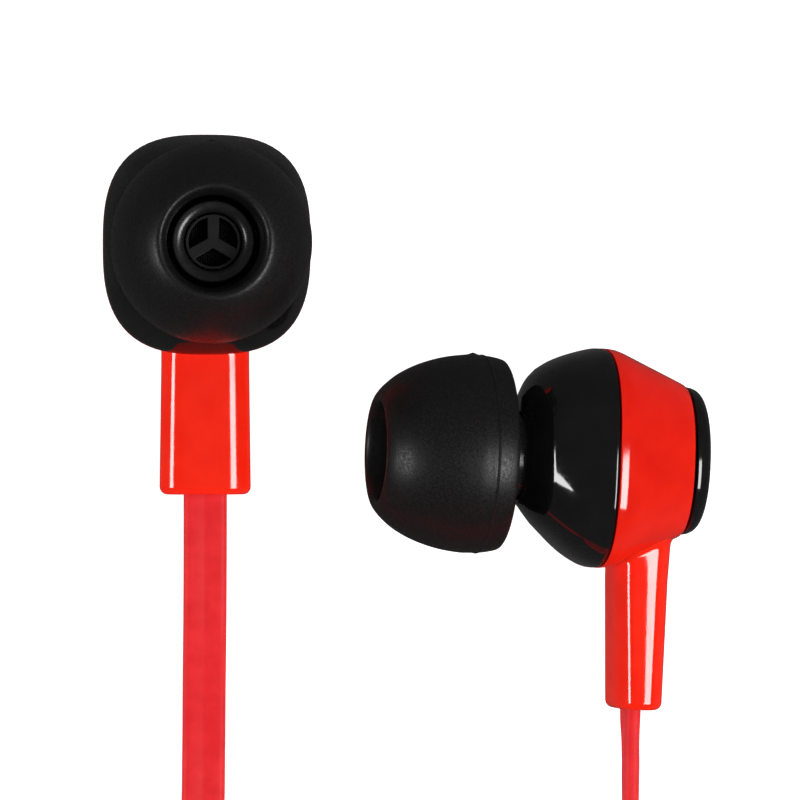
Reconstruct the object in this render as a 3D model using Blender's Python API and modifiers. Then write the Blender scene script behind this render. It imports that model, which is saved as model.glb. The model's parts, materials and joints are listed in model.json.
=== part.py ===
"""Wired in-ear earphones: two buds laid on a table, their flat cord wound into a coil, and the plug.

The left bud stands on its rear cap with its nose up, and the right bud lies on its side with its nose
towards -X. Both stems point towards -Y. Lengths in this script are in millimetres, and MM turns them
into metres. Along a bud's own axis, +Z local, a height of 0 is the rear cap's outer face. Local +Y
points away from the stem.
"""

import math

import bmesh
import bpy
from mathutils import Matrix, Vector

MM = 0.001

# The buds' places: the foot of each bud's axis on its rear cap's outer face.
SHELL_HALF_HEIGHT = 6.95
SHELL_HALF_WIDTH = 6.57
LEFT_FOOT = Vector((-12.53, 11.15, 0.0))
RIGHT_FOOT = Vector((18.74, -2.55, 5.56))
RIGHT_YAW = math.radians(2.0)
RIGHT_PITCH = math.radians(8.5)

# Shell sections: height along the axis, half height, half width, squareness (2 is an ellipse), and how
# far the section's middle is raised above the axis.
REAR_OUTSIDE = [
    (1.35, 4.78, 4.6, 2.4, 0.0),
    (1.6, 4.95, 4.76, 2.5, 0.0),
    (5.55, 6.71, 6.33, 2.8, 0.0),
    (5.95, 6.86, 6.48, 2.8, 0.0),
    (6.62, 6.94, 6.56, 2.8, 0.0),
]
FRONT_OUTSIDE = [
    (6.77, SHELL_HALF_HEIGHT, SHELL_HALF_WIDTH, 2.8, 0.0),
    (7.15, 6.9, 6.52, 2.8, 0.01),
    (7.6, 6.76, 6.38, 2.8, 0.05),
    (8.4, 6.42, 6.06, 2.8, 0.17),
    (9.1, 6.03, 5.7, 2.75, 0.32),
    (9.8, 5.56, 5.26, 2.7, 0.48),
    (10.6, 4.95, 4.72, 2.55, 0.6),
    (11.1, 4.42, 4.26, 2.3, 0.62),
    (11.5, 3.84, 3.82, 2.1, 0.5),
    (11.75, 3.4, 3.4, 2.0, 0.32),
]
NECK_RING = (11.75, 2.8, 2.8, 2.0, 0.0)
NECK_INSIDE = (10.7, 2.8, 2.8, 2.0, 0.0)
SHELL_WALL = 0.85
FRONT_WALL = 1.0
SHELL_SEGMENTS = 32
REAR_OPENING = 3.75
LIP_BOTTOM = 5.6
LIP_GAP = 0.15
LIP_WALL = 0.5

# Stem below the shell, and the flat cord that it holds.
# Stem sections: lowest and highest along the bud's axis, half width.
STEM_END = -15.8
STEM_TOP = (1.98, 5.56, 2.8)
STEM_BOTTOM = (2.22, 5.25, 2.9)
STEM_CORNER = 1.15
STEM_BULGE = 0.08
STEM_END_ROUND = 0.45
CORD_WIDTH = 2.75
CORD_THICKNESS = 0.95
CORD_AXIS = 3.9
CORD_HOLE_GAP = 0.2
SLOT_MIDDLE = -6.3
SLOT_REACH = 4.0
FIT_GAP = 0.15

# Ear tip and nozzle. Outlines are (radius, height) points.
TIP_BORE = 2.9
TIP_SEAT = 12.9
TIP_OUTLINE = [
    (TIP_BORE, TIP_SEAT),
    (3.55, TIP_SEAT),
    (3.6, 17.1),
    (3.95, 18.1),
    (4.5, 17.7),
    (5.2, 16.5),
    (5.6, 15.0),
    (5.65, 13.25),
    (5.8, 12.97),
    (6.02, 13.1),
    (6.17, 13.7),
    (6.25, 14.5),
    (6.23, 15.6),
    (6.0, 17.0),
    (5.55, 18.4),
    (4.95, 19.55),
    (4.3, 20.35),
    (3.85, 20.78),
    (3.5, 20.97),
    (3.25, 20.9),
    (3.05, 20.6),
    (TIP_BORE, 19.7),
]
NOZZLE_OUTER = 2.6
NOZZLE_INNER = 1.8
NOZZLE_BARB = 0.12
NOZZLE_FLANGE = 3.3
NOZZLE_BASE = 9.8
NOZZLE_END = 18.4
GRILLE_DEPTH = 0.3
GRILLE_THICKNESS = 0.6
SPOKE_WIDTH = 0.7
MESH_BOTTOM = 16.9
MESH_TOP = 17.1
ROUND_SEGMENTS = 24
SMALL_SEGMENTS = 16
COIL_SEGMENTS = 36

# The coil: a double layer of turns that stand on edge, and the tie that goes round it.
COIL_CENTRE = Vector((1.0, -58.3, 0.0))
COIL_INNER = 11.6
COIL_OUTER = 21.2
COIL_BOTTOM = 0.9
COIL_TOP = 6.5
TIE_ANGLE = math.radians(340)
TIE_GAP = 0.3
TIE_THICKNESS = 0.6
TIE_WIDTH = 3.0

# The splitter in the coil's hole, and the plug beside the coil.
SPLIT_HEADING = math.radians(53)
SPLIT_OFFSET = 5.5
SPLIT_SIZE = Vector((9.5, 3.6, 3.8))
PLUG_START = Vector((-2.0, -84.4, 3.4))
PLUG_RADIUS = 3.4

# Cord routes: x, y, z and how far the flat cord is rolled, in degrees. At 0 it stands on edge, and at
# 90 it lies flat. The first two are measured from the table's origin, and the rest from the coil's centre.
LEFT_ROUTE = [
    (-12.53, 5.9, 3.9, 90),
    (-12.53, 0.6, 3.9, 90),
    (-12.53, -4.65, 3.9, 90),
    (-12.53, -8.8, 3.75, 90),
    (-12.53, -13.0, 3.1, 90),
    (-12.53, -17.2, 1.8, 90),
    (-12.53, -21.4, 0.85, 90),
    (-12.63, -25.4, 0.75, 86),
    (-13.25, -29.6, 1.2, 66),
    (-14.8, -34.2, 1.75, 34),
    (-17.0, -39.4, 2.15, 10),
    (-18.9, -44.8, 2.28, 0),
    (-19.62, -50.4, 2.28, 0),
]
RIGHT_ROUTE = [
    (14.71, -7.46, 6.14, -8.5),
    (14.53, -12.71, 6.14, -8.5),
    (14.33, -18.2, 6.14, -6),
    (14.33, -20.2, 6.12, -1),
    (14.34, -22.4, 6.08, 0),
    (14.2, -25.6, 5.85, 2),
    (13.05, -29.4, 5.1, 0),
    (10.7, -32.75, 4.05, 0),
    (7.8, -35.1, 3.1, 0),
    (4.9, -36.5, 2.5, 0),
]
LEFT_INNER_ROUTE = [
    (-1.9, -10.6, 2.28, 0),
    (0.04, -9.64, 2.2, 0),
    (1.76, -8.0, 2.05, 0),
]
RIGHT_INNER_ROUTE = [
    (-4.04, -9.85, 2.28, 0),
    (-2.82, -9.71, 2.28, 0),
    (-0.59, -8.72, 2.15, 0),
    (0.86, -7.35, 2.05, 0),
]
MAIN_INNER_ROUTE = [
    (7.45, 0.78, 2.0, 0),
    (8.31, 2.74, 2.1, 0),
    (8.35, 5.23, 2.25, 0),
    (7.37, 7.53, 2.5, 0),
    (5.5, 9.1, 2.8, 0),
    (1.86, 10.45, 3.2, 0),
    (-2.75, 10.25, 3.7, 0),
    (-6.85, 8.15, 4.2, 0),
    (-9.65, 4.5, 4.65, 0),
    (-10.65, 0.0, 4.95, 0),
    (-10.1, -3.5, 5.1, 0),
]
MAIN_OUTER_ROUTE = [
    (-18.3, -12.6, 5.05, 0),
    (-17.4, -17.0, 4.1, 0),
    (-15.4, -20.8, 2.9, 0),
    (-12.2, -23.9, 2.3, 0),
    (-8.4, -25.6, 2.5, 0),
    (-5.2, -26.1, 3.05, 0),
    (-3.0, -26.1, 3.36, 0),
    (-1.0, -26.1, 3.4, 0),
    (1.0, -26.1, 3.4, 0),
]
ROUTE_STEP = 3.0

# Finishes: colour, roughness and metallic value.
FINISHES = {
    "gloss_black": ((0.012, 0.012, 0.013), 0.08, 0.0),
    "gloss_red": ((0.78, 0.02, 0.008), 0.12, 0.0),
    "red_stem": ((0.85, 0.03, 0.012), 0.15, 0.0),
    "black_silicone": ((0.012, 0.011, 0.011), 0.5, 0.0),
    "red_cord": ((0.6, 0.03, 0.03), 0.4, 0.0),
    "black_rubber": ((0.02, 0.02, 0.02), 0.6, 0.0),
    "steel": ((0.5, 0.5, 0.52), 0.35, 1.0),
    "nickel": ((0.62, 0.61, 0.58), 0.25, 1.0),
    "copper": ((0.72, 0.32, 0.16), 0.35, 1.0),
    "gold_contact": ((0.85, 0.62, 0.28), 0.2, 1.0),
    "clear_film": ((0.75, 0.73, 0.68), 0.3, 0.0),
    "grey_foam": ((0.12, 0.12, 0.12), 0.95, 0.0),
    "frame_plastic": ((0.08, 0.08, 0.085), 0.5, 0.0),
}


# ---- scene, materials and object helpers ----


def clear_scene():
    for obj in list(bpy.data.objects):
        bpy.data.objects.remove(obj, do_unlink=True)


def new_collection(name):
    collection = bpy.data.collections.new(name)
    bpy.context.scene.collection.children.link(collection)
    return collection


def make_materials():
    made = {}
    for name, (colour, roughness, metallic) in FINISHES.items():
        material = bpy.data.materials.new(name)
        material.use_nodes = True
        shader = material.node_tree.nodes["Principled BSDF"]
        shader.inputs["Base Color"].default_value = (*colour, 1.0)
        shader.inputs["Roughness"].default_value = roughness
        shader.inputs["Metallic"].default_value = metallic
        made[name] = material
    return made


def add_object(name, data, finish, parent=None):
    """Links an object to the earphones' collection, under a parent if it has one."""
    obj = bpy.data.objects.new(name, data)
    EARPHONES.objects.link(obj)
    obj.data.materials.append(MATERIALS[finish])
    obj.parent = parent
    return obj


def add_empty(name, location, rotation):
    empty = bpy.data.objects.new(name, None)
    EARPHONES.objects.link(empty)
    empty.location = location * MM
    empty.rotation_euler = rotation
    return empty


def signed_area(points):
    return sum(
        a[0] * b[1] - b[0] * a[1] for a, b in zip(points, points[1:] + points[:1])
    )


def turned(name, profile, finish, parent=None, segments=ROUND_SEGMENTS, base=0.0):
    """A solid of revolution about local Z, from a closed outline of (radius, height) points.

    An outline whose first and last points are on the axis makes a solid disc. Any other makes a ring.
    The solid is built about its own base height, so that its origin is on the axis there.
    """
    on_axis = profile[0][0] == 0 and profile[-1][0] == 0
    # The outline runs down its outer side, which makes the faces point out.
    points = profile if signed_area(profile) < 0 else profile[::-1]
    mesh = bpy.data.meshes.new(name)
    edges = [(i, i + 1) for i in range(len(points) - 1)]
    if not on_axis:
        edges.append((len(points) - 1, 0))
    mesh.from_pydata([(r * MM, 0.0, (h - base) * MM) for r, h in points], edges, [])
    obj = add_object(name, mesh, finish, parent)
    obj.location.z = base * MM
    screw = obj.modifiers.new("turn", "SCREW")
    screw.angle = math.tau
    screw.steps = screw.render_steps = segments
    screw.use_merge_vertices = True
    screw.merge_threshold = 1e-6
    screw.use_smooth_shade = True
    return obj


def loft(name, rings, finish, parent=None, closed=False):
    """A solid through rings of equally many points. Closed joins the last ring to the first."""
    shape = bmesh.new()
    made = [[shape.verts.new(p * MM) for p in ring] for ring in rings]
    pairs = list(zip(made, made[1:]))
    if closed:
        pairs.append((made[-1], made[0]))
    for low, high in pairs:
        for i in range(len(low)):
            j = (i + 1) % len(low)
            shape.faces.new((low[i], low[j], high[j], high[i]))
    if not closed:
        shape.faces.new(made[0][::-1])
        shape.faces.new(made[-1])
    bmesh.ops.recalc_face_normals(shape, faces=shape.faces)
    mesh = bpy.data.meshes.new(name)
    shape.to_mesh(mesh)
    shape.free()
    mesh.shade_smooth()
    mesh.set_sharp_from_angle(angle=math.radians(35))
    return add_object(name, mesh, finish, parent)


def outline_plate(name, outlines, thickness, finish, parent=None):
    """A flat plate in local XY, from an outer outline and the outlines of its holes."""
    curve = bpy.data.curves.new(name, "CURVE")
    curve.dimensions = "2D"
    curve.fill_mode = "BOTH"
    curve.extrude = thickness / 2 * MM
    for outline in outlines:
        spline = curve.splines.new("POLY")
        spline.points.add(len(outline) - 1)
        for point, (x, y) in zip(spline.points, outline):
            point.co = (x * MM, y * MM, 0.0, 1.0)
        spline.use_cyclic_u = True
    return add_object(name, curve, finish, parent)


def cut_slot(target, size, centre, parent):
    """Cuts a box-shaped slot through a piece."""
    bpy.ops.mesh.primitive_cube_add(size=1.0)
    cutter = bpy.context.active_object
    cutter.name = target.name + "_slot_cutter"
    for collection in list(cutter.users_collection):
        collection.objects.unlink(cutter)
    CUTTERS.objects.link(cutter)
    cutter.data.transform(Matrix.Diagonal((*(size * MM), 1.0)))
    cutter.location = centre * MM
    cutter.parent = parent
    cutter.hide_render = True
    cutter.display_type = "WIRE"
    cut = target.modifiers.new("slot", "BOOLEAN")
    cut.operation = "DIFFERENCE"
    cut.object = cutter


# ---- outlines ----


def rounded_square(height, half_height, half_width, squareness, rise=0.0):
    """One shell section: a ring of points that lies between an ellipse and a rectangle."""
    ring = []
    for i in range(SHELL_SEGMENTS):
        angle = math.tau * i / SHELL_SEGMENTS
        across = abs(math.cos(angle)) / half_width
        up = abs(math.sin(angle)) / half_height
        reach = (across**squareness + up**squareness) ** (-1 / squareness)
        ring.append(
            Vector((reach * math.cos(angle), rise + reach * math.sin(angle), height))
        )
    return ring


def inset(section, wall, height=None):
    """A section moved in by a wall's thickness, and to another height if one is given."""
    at, half_height, half_width, squareness, rise = section
    at = at if height is None else height
    return rounded_square(at, half_height - wall, half_width - wall, squareness, rise)


def rear_section(height):
    """The rear shell's outside section at a height."""
    for low, high in zip(REAR_OUTSIDE, REAR_OUTSIDE[1:]):
        if height <= high[0]:
            break
    share = (height - low[0]) / (high[0] - low[0])
    return tuple(a + (b - a) * share for a, b in zip(low, high))


def shell_bottom(across, height):
    """How far below the axis the rear shell's outside lies, at a place across and along it."""
    _, half_height, half_width, squareness, _ = rear_section(height)
    rest = 1 - (abs(across) / half_width) ** squareness
    return half_height * rest ** (1 / squareness)


def rounded_rectangle(half_x, half_y, corner, arc_points=5):
    """Points round a rectangle with round corners, centred on the origin."""
    outline = []
    for turn, (sx, sy) in enumerate(((1, 1), (-1, 1), (-1, -1), (1, -1))):
        for i in range(arc_points):
            angle = math.pi / 2 * (turn + i / (arc_points - 1))
            outline.append(
                (
                    sx * (half_x - corner) + corner * math.cos(angle),
                    sy * (half_y - corner) + corner * math.sin(angle),
                )
            )
    return outline


def circle(radius, segments):
    steps = [math.tau * i / segments for i in range(segments)]
    return [(radius * math.cos(a), radius * math.sin(a)) for a in steps]


def spoked_outlines(radius, rim, spoke_width, spokes=3):
    """A disc's outline and one hole between each pair of spokes. The first spoke points up."""
    outlines = [circle(radius, SMALL_SEGMENTS * 2)]
    inner, half = radius - rim, spoke_width / 2
    lean = math.asin(half / inner)
    gap = math.tau / spokes
    for s in range(spokes):
        start = math.pi / 2 + s * gap
        middle = start + gap / 2
        corner = half / math.sin(gap / 2)
        hole = [(corner * math.cos(middle), corner * math.sin(middle))]
        arc = 8
        for i in range(arc + 1):
            angle = start + lean + (gap - 2 * lean) * i / arc
            hole.append((inner * math.cos(angle), inner * math.sin(angle)))
        outlines.append(hole)
    return outlines


# ---- one bud ----


def make_shells(side, bud):
    rear_end = REAR_OUTSIDE[0]
    rear = [rounded_square(*section) for section in REAR_OUTSIDE]
    rear.append(inset(REAR_OUTSIDE[-1], SHELL_WALL))
    rear.append(inset(REAR_OUTSIDE[-2], SHELL_WALL))
    rear.append(inset(rear_section(2.3), SHELL_WALL))
    rear.append(rounded_square(2.05, REAR_OPENING, REAR_OPENING, 2.0))
    rear.append(rounded_square(rear_end[0], REAR_OPENING, REAR_OPENING, 2.0))
    rear_shell = loft(f"{side}_rear_shell", rear, "gloss_red", bud, closed=True)
    gap = 2 * CORD_HOLE_GAP
    slot = Vector((CORD_WIDTH + gap, SLOT_REACH, CORD_THICKNESS + gap))
    cut_slot(rear_shell, slot, Vector((0, SLOT_MIDDLE, CORD_AXIS)), bud)

    # A lip on the front shell fits inside the rear shell, so that the seam shows no gap.
    lip = rear_section(LIP_BOTTOM)
    lip_out = SHELL_WALL + LIP_GAP
    seam = FRONT_OUTSIDE[0]
    front = [rounded_square(*section) for section in FRONT_OUTSIDE]
    front.append(rounded_square(*NECK_RING))
    front.append(rounded_square(*NECK_INSIDE))
    for section in reversed(FRONT_OUTSIDE[2:-3:2]):
        front.append(inset(section, FRONT_WALL))
    front.append(inset(lip, lip_out + LIP_WALL, seam[0]))
    front.append(inset(lip, lip_out + LIP_WALL, LIP_BOTTOM))
    front.append(inset(lip, lip_out, LIP_BOTTOM))
    front.append(inset(lip, lip_out, seam[0]))
    loft(f"{side}_front_shell", front, "gloss_black", bud, closed=True)


def make_rear_cap(side, bud):
    """A gently domed disc with a boss behind it that plugs the rear shell's opening."""
    rings = [
        rounded_square(0.0, 2.9, 2.85, 2.1),
        rounded_square(0.12, 3.68, 3.6, 2.2),
        rounded_square(0.27, 4.17, 4.05, 2.25),
        rounded_square(0.5, 4.47, 4.33, 2.3),
        rounded_square(0.85, 4.64, 4.49, 2.4),
        rounded_square(1.17, 4.7, 4.54, 2.4),
        rounded_square(1.19, 3.45, 3.45, 2.0),
        rounded_square(2.1, 3.45, 3.45, 2.0),
    ]
    loft(f"{side}_rear_cap", rings, "gloss_black", bud)


def make_nozzle(side, bud):
    """A tube with a flange inside the shell, a barb for the tip, and a grille over a mesh in its mouth."""
    flange_top = NOZZLE_BASE + 0.65
    barb = NOZZLE_OUTER + NOZZLE_BARB
    profile = [
        (NOZZLE_FLANGE, NOZZLE_BASE),
        (NOZZLE_FLANGE, flange_top),
        (NOZZLE_OUTER, flange_top),
        (NOZZLE_OUTER, NOZZLE_END - 2.2),
        (barb, NOZZLE_END - 1.9),
        (barb, NOZZLE_END - 1.1),
        (NOZZLE_OUTER - 0.1, NOZZLE_END - 0.3),
        (NOZZLE_OUTER - 0.25, NOZZLE_END),
        (NOZZLE_INNER, NOZZLE_END),
        (NOZZLE_INNER, NOZZLE_BASE),
    ]
    turned(f"{side}_nozzle", profile, "gloss_black", bud, base=NOZZLE_END)
    fit = NOZZLE_INNER - 0.1
    outlines = spoked_outlines(fit, 0.18, SPOKE_WIDTH)
    grille = outline_plate(
        f"{side}_grille", outlines, GRILLE_THICKNESS, "gloss_black", bud
    )
    grille.location.z = (NOZZLE_END - GRILLE_DEPTH - GRILLE_THICKNESS / 2) * MM
    disc = [(0, MESH_BOTTOM), (fit, MESH_BOTTOM), (fit, MESH_TOP), (0, MESH_TOP)]
    turned(f"{side}_nozzle_mesh", disc, "steel", bud, SMALL_SEGMENTS, MESH_BOTTOM)


def make_ear_tip(side, bud):
    """A soft dome round a core that grips the nozzle. The skirt is open at the back."""
    turned(f"{side}_ear_tip", TIP_OUTLINE, "black_silicone", bud, base=TIP_SEAT)


def make_driver(side, bud):
    """The moving-coil driver: frame, magnet circuit, coil and membrane, and the gasket over its rim."""
    frame = [
        (3.3, 4.5),
        (4.65, 4.5),
        (4.65, 7.9),
        (4.4, 7.9),
        (4.4, 7.0),
        (3.95, 7.0),
        (3.95, 5.1),
        (3.3, 5.1),
    ]
    yoke = [
        (0, 4.2),
        (3.15, 4.2),
        (3.15, 6.6),
        (2.75, 6.6),
        (2.75, 4.7),
        (0, 4.7),
    ]
    magnet = [(0, 4.85), (2.05, 4.85), (2.05, 6.05), (0, 6.05)]
    plate = [(0, 6.2), (2.2, 6.2), (2.2, 6.6), (0, 6.6)]
    coil = [(2.35, 5.9), (2.55, 5.9), (2.55, 7.05), (2.35, 7.05)]
    membrane_top = [(0, 7.8), (1.2, 7.68), (2.2, 7.35), (3.3, 7.62), (4.25, 7.35)]
    film = 0.12
    membrane = membrane_top + [(r, h - film) for r, h in reversed(membrane_top)]
    gasket = [(3.9, 8.05), (4.6, 8.05), (4.6, 8.6), (3.9, 8.6)]
    for piece, profile, finish in (
        ("driver_frame", frame, "frame_plastic"),
        ("yoke", yoke, "steel"),
        ("magnet", magnet, "nickel"),
        ("top_plate", plate, "steel"),
        ("voice_coil", coil, "copper"),
        ("diaphragm", membrane, "clear_film"),
        ("foam_gasket", gasket, "grey_foam"),
    ):
        turned(f"{side}_{piece}", profile, finish, bud, SMALL_SEGMENTS, profile[0][1])


def stem_ring(y, low, high, half_width, corner, follow_shell=False):
    """One section of the stem, with bulging sides. It can follow the shell's underside instead."""
    middle, half = (low + high) / 2, (high - low) / 2
    ring = []
    for x, along in rounded_rectangle(half_width, half, corner):
        x *= 1 - STEM_BULGE * (along / half) ** 2
        height = middle + along
        at = -shell_bottom(x, height) - FIT_GAP if follow_shell else y
        ring.append(Vector((x, at, height)))
    return ring


def make_stem(side, bud):
    low, high, half_width = STEM_BOTTOM
    hole = (
        CORD_AXIS - CORD_THICKNESS / 2 - CORD_HOLE_GAP,
        CORD_AXIS + CORD_THICKNESS / 2 + CORD_HOLE_GAP,
        CORD_WIDTH / 2 + CORD_HOLE_GAP,
    )
    rings = [stem_ring(0, *STEM_TOP, STEM_CORNER, follow_shell=True)]
    rings.append(stem_ring(STEM_END + STEM_END_ROUND, low, high, half_width, STEM_CORNER))
    for drop, step in ((0.5, 0.06), (0.87, 0.22), (1.0, STEM_END_ROUND)):
        rings.append(
            stem_ring(
                STEM_END + STEM_END_ROUND * (1 - drop),
                low + step,
                high - step,
                half_width - step,
                STEM_CORNER - step,
            )
        )
    rings.append(stem_ring(STEM_END, *hole, 0.4))
    rings.append(stem_ring(0, *hole, 0.4, follow_shell=True))
    loft(f"{side}_stem", rings, "red_stem", bud, closed=True)


def make_cord_stop(side, bud):
    """A moulded block inside the shell that keeps the cord from pulling out of the stem."""
    rings = []
    for height, step in ((3.0, 0.15), (3.15, 0.0), (4.1, 0.0), (4.25, 0.15)):
        outline = rounded_rectangle(1.7 - step, 0.42 - step, 0.15, 3)
        rings.append([Vector((x, y - 3.75, height)) for x, y in outline])
    loft(f"{side}_cord_stop", rings, "black_rubber", bud)


def make_bud(side, location, rotation):
    bud = add_empty(f"{side}_bud", location, rotation)
    make_shells(side, bud)
    make_rear_cap(side, bud)
    make_nozzle(side, bud)
    make_ear_tip(side, bud)
    make_driver(side, bud)
    make_stem(side, bud)
    make_cord_stop(side, bud)


# ---- cords, splitter, tie and plug ----


def smooth_route(route, step):
    """Points about a step apart on a Catmull-Rom curve through a route's own points."""
    points = [Vector(p) for p in route]
    padded = [2 * points[0] - points[1], *points, 2 * points[-1] - points[-2]]
    smooth = [points[0]]
    for a, b, c, d in zip(padded, padded[1:], padded[2:], padded[3:]):
        pieces = max(1, round((c - b).to_3d().length / step))
        for i in range(1, pieces + 1):
            t = i / pieces
            smooth.append(
                0.5
                * (
                    2 * b
                    + (c - a) * t
                    + (2 * a - 5 * b + 4 * c - d) * t**2
                    + (3 * b - a - 3 * c + d) * t**3
                )
            )
    return smooth


def flat_cord(name, route, origin=None):
    """One stretch of the flat cord along a smooth curve through its route."""
    curve = bpy.data.curves.new(name, "CURVE")
    curve.dimensions = "3D"
    curve.twist_mode = "Z_UP"
    curve.extrude = (CORD_WIDTH - CORD_THICKNESS) / 2 * MM
    curve.bevel_depth = CORD_THICKNESS / 2 * MM
    curve.bevel_resolution = 2
    curve.use_fill_caps = True
    points = smooth_route(route, ROUTE_STEP)
    spline = curve.splines.new("POLY")
    spline.points.add(len(points) - 1)
    for point, at in zip(spline.points, points):
        point.co = (at.x * MM, at.y * MM, at.z * MM, 1.0)
        point.tilt = math.radians(at.w)
    obj = add_object(name, curve, "red_cord")
    if origin is not None:
        obj.location = origin * MM
    return obj


def make_coil():
    middle = (COIL_BOTTOM + COIL_TOP) / 2
    half_width, half_height = (
        (COIL_OUTER - COIL_INNER) / 2,
        (COIL_TOP - COIL_BOTTOM) / 2,
    )
    outline = rounded_rectangle(half_width, half_height, 0.5, 3)
    profile = [(x + (COIL_INNER + COIL_OUTER) / 2, y + middle) for x, y in outline]
    coil = turned("cord_coil", profile, "red_cord", segments=COIL_SEGMENTS)
    coil.location = COIL_CENTRE * MM


def make_tie():
    """A closed strap round the coil's section, with its lower run flat on the table."""
    reach = (COIL_OUTER - COIL_INNER) / 2 + TIE_GAP
    rise = (COIL_TOP - COIL_BOTTOM) / 2 + TIE_GAP
    middle = Vector(((COIL_INNER + COIL_OUTER) / 2, (COIL_TOP + COIL_BOTTOM) / 2))
    outlines = []
    for grow, corner in ((TIE_THICKNESS, 1.2), (0.0, 0.6)):
        shape = rounded_rectangle(reach + grow, rise + grow, corner)
        outlines.append([(x + middle.x, y + middle.y) for x, y in shape])
    tie = outline_plate("coil_tie", outlines, TIE_WIDTH, "black_rubber")
    tie.location = COIL_CENTRE * MM
    tie.rotation_euler = (math.pi / 2, 0, TIE_ANGLE)


def make_splitter():
    """Two moulded halves, one over the other, round the place where the cords join."""
    heading = Vector((math.cos(SPLIT_HEADING), math.sin(SPLIT_HEADING), 0))
    side = Vector((heading.y, -heading.x, 0))
    place = COIL_CENTRE + SPLIT_OFFSET * side
    splitter = add_empty("splitter", place, (0, 0, SPLIT_HEADING))
    half_height = SPLIT_SIZE.z / 2
    for half, low, high in (
        ("lower", 0.1, half_height),
        ("upper", half_height + FIT_GAP, SPLIT_SIZE.z + FIT_GAP),
    ):
        rings = []
        for x, step in ((-1.0, 0.3), (-0.93, 0.0), (0.93, 0.0), (1.0, 0.3)):
            outline = rounded_rectangle(
                SPLIT_SIZE.y / 2 - step, (high - low) / 2 - step / 2, 0.35, 4
            )
            rings.append(
                [
                    Vector((x * SPLIT_SIZE.x / 2, y, z + (low + high) / 2))
                    for y, z in outline
                ]
            )
        loft(f"y_split_{half}", rings, "gloss_black", splitter)


def make_plug():
    """A straight 3.5 mm stereo plug that lies along +X. Its own axis is local Z."""
    plug = add_empty("plug", PLUG_START, (0, math.pi / 2, 0))
    relief = [
        (1.6, 0.0),
        (2.15, 0.0),
        (2.35, 0.4),
        (2.25, 2.0),
        (2.45, 2.4),
        (2.4, 4.0),
        (2.6, 4.4),
        (2.55, 6.0),
        (2.75, 6.4),
        (2.8, 9.0),
        (1.6, 9.0),
    ]
    body = [
        (0, 9.3),
        (2.9, 9.3),
        (3.25, 9.5),
        (PLUG_RADIUS, 9.9),
        (PLUG_RADIUS, 22.6),
        (3.2, 23.2),
        (2.7, 23.4),
        (0, 23.4),
    ]
    contact = 1.75
    face = 23.6
    sleeve = [
        (0, face),
        (2.45, face),
        (2.45, face + 0.8),
        (contact, face + 0.8),
        (contact, face + 7.3),
        (0, face + 7.3),
    ]
    tip = [
        (0, face + 11.0),
        (contact, face + 11.0),
        (contact, face + 11.3),
        (1.3, face + 11.9),
        (1.62, face + 12.6),
        (1.45, face + 13.2),
        (0.75, face + 14.0),
        (0, face + 14.1),
    ]
    turned("plug_relief", relief, "black_rubber", plug, SMALL_SEGMENTS)
    turned("plug_body", body, "gloss_black", plug, ROUND_SEGMENTS)
    turned("plug_sleeve", sleeve, "gold_contact", plug, SMALL_SEGMENTS)
    turned("plug_tip", tip, "gold_contact", plug, SMALL_SEGMENTS)
    for name, low, high, finish in (
        ("plug_insulator_1", 7.45, 7.95, "black_rubber"),
        ("plug_ring", 8.1, 10.2, "gold_contact"),
        ("plug_insulator_2", 10.35, 10.85, "black_rubber"),
    ):
        disc = [(0, low), (contact, low), (contact, high), (0, high)]
        disc = [(r, h + face) for r, h in disc]
        turned(name, disc, finish, plug, SMALL_SEGMENTS)


def make_cords():
    flat_cord("cord_left", LEFT_ROUTE)
    flat_cord("cord_right", RIGHT_ROUTE)
    flat_cord("cord_left_inner", LEFT_INNER_ROUTE, COIL_CENTRE)
    flat_cord("cord_right_inner", RIGHT_INNER_ROUTE, COIL_CENTRE)
    flat_cord("cord_main_inner", MAIN_INNER_ROUTE, COIL_CENTRE)
    flat_cord("cord_main_outer", MAIN_OUTER_ROUTE, COIL_CENTRE)


clear_scene()
EARPHONES = new_collection("wired_earphones")
CUTTERS = new_collection("cutters")
MATERIALS = make_materials()
make_bud("left", LEFT_FOOT, (0, 0, 0))
# The nose turns from +Z to almost -X, still raised by the pitch, and then by the yaw about the vertical.
make_bud("right", RIGHT_FOOT, (0, RIGHT_PITCH - math.pi / 2, -RIGHT_YAW))
make_cords()
make_coil()
make_tie()
make_splitter()
make_plug()
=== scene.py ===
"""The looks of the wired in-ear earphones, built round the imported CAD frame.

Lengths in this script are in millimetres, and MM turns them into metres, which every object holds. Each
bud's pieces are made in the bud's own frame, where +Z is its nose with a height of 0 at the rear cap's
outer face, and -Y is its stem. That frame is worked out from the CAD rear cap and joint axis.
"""

import json
import math

import bmesh
import bpy
from mathutils import Matrix, Vector


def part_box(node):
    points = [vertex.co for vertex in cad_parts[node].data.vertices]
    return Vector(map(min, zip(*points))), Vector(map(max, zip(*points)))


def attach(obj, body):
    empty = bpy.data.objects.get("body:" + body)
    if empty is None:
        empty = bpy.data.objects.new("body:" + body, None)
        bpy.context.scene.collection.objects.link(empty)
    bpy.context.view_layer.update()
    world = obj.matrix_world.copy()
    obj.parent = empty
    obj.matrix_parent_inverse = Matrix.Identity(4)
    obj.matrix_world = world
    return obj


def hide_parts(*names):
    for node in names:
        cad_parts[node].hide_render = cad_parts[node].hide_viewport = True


MM = 0.001
ROOT = "earphones"

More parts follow.
